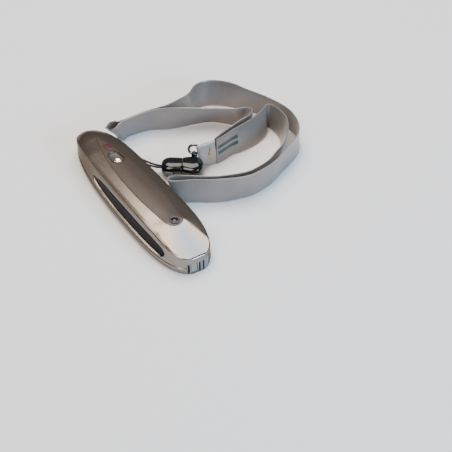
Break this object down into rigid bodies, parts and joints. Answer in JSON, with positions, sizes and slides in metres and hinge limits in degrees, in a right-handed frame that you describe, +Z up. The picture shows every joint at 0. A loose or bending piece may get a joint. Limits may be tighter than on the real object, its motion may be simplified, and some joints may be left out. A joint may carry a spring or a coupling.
{
  "type": "counterfeit bill detector",
  "caption": "Slim handheld pod with sloping nose, sensor window, panel with lamp and push button, sliding cover, and looped neck ribbon on a release clip.",
  "frame": {"origin": "middle of the pod's length and width, at the height of its flat underside", "axes": "+Z up out of the top, +Y from the sensor end towards the lanyard end, +X to the right of someone looking along +Y"},
  "size_m": [0.1117, 0.1161, 0.0167],
  "materials": {
    "silver_paint": "satin metallic paint on moulded plastic",
    "panel": "semi-gloss dark brown",
    "inlay": "plain dark red inlay",
    "grip": "fine moulded texture",
    "chrome_button": "polished",
    "black_plastic": "moulded",
    "switch_body": "moulded",
    "lamp_ring": "satin",
    "lamp_lens": "polished dark lens",
    "bezel_plastic": "moulded grey",
    "window_glass": "clear",
    "head_metal": "lapped",
    "sensor_clear": "clear resin",
    "sensor_dark": "dark resin",
    "board": "solder mask",
    "spring_steel": "nickel plated",
    "cell_steel": "nickel plated",
    "string": "tight braid",
    "clip_plastic": "glossy black moulding",
    "tab_plastic": "moulded",
    "ring_metal": "dark nickel",
    "sewn_fabric": "satin weave, doubled and sewn",
    "staple_brass": "polished",
    "ribbon_satin": "satin weave"
  },
  "bodies": {
    "root": {"upper_housing": "silver_paint", "lower_housing": "silver_paint", "top_panel": "panel", "panel_mark": "inlay", "side_grip_left": "grip", "side_grip_right": "grip", "tact_switch": "switch_body", "lamp_bezel": "lamp_ring", "status_lamp": "lamp_lens", "sensor_bezel": "bezel_plastic", "sensor_window": "window_glass", "magnetic_head": "head_metal", "infrared_emitter": "sensor_clear", "infrared_detector": "sensor_dark", "circuit_board": "board", "control_chip": "black_plastic", "amplifier_chip": "black_plastic", "buzzer": "black_plastic", "battery_holder": "black_plastic", "battery_spring": "spring_steel", "battery_contact": "spring_steel", "battery_cell_1": "cell_steel", "battery_cell_2": "cell_steel", "battery_cell_3": "cell_steel", "housing_screws": "spring_steel", "lanyard_pin": "spring_steel", "lanyard_string": "string", "clip_socket": "clip_plastic", "clip_plug": "clip_plastic", "clip_ring": "ring_metal", "sewn_tab": "sewn_fabric", "ribbon_staple": "staple_brass", "neck_ribbon": "ribbon_satin"},
    "button": {"test_button": "chrome_button", "switch_plunger": "black_plastic"},
    "cover": {"battery_cover": "silver_paint"},
    "clip_tab": {"clip_release_tab": "tab_plastic"}
  },
  "joints": [
    {"name": "button_press", "type": "slide", "parent": "root", "child": "button", "axis": [0, 0, -1], "range_m": [0, 0.0006], "stiffness_N_per_m": 1500},
    {"name": "cover_slide", "type": "slide", "parent": "root", "child": "cover", "axis": [0, 1, 0], "range_m": [0, 0.012]},
    {"name": "clip_release", "type": "slide", "parent": "root", "child": "clip_tab", "axis": [0.5736, 0.8192, 0], "range_m": [0, 0.0008], "stiffness_N_per_m": 1000}
  ]
}
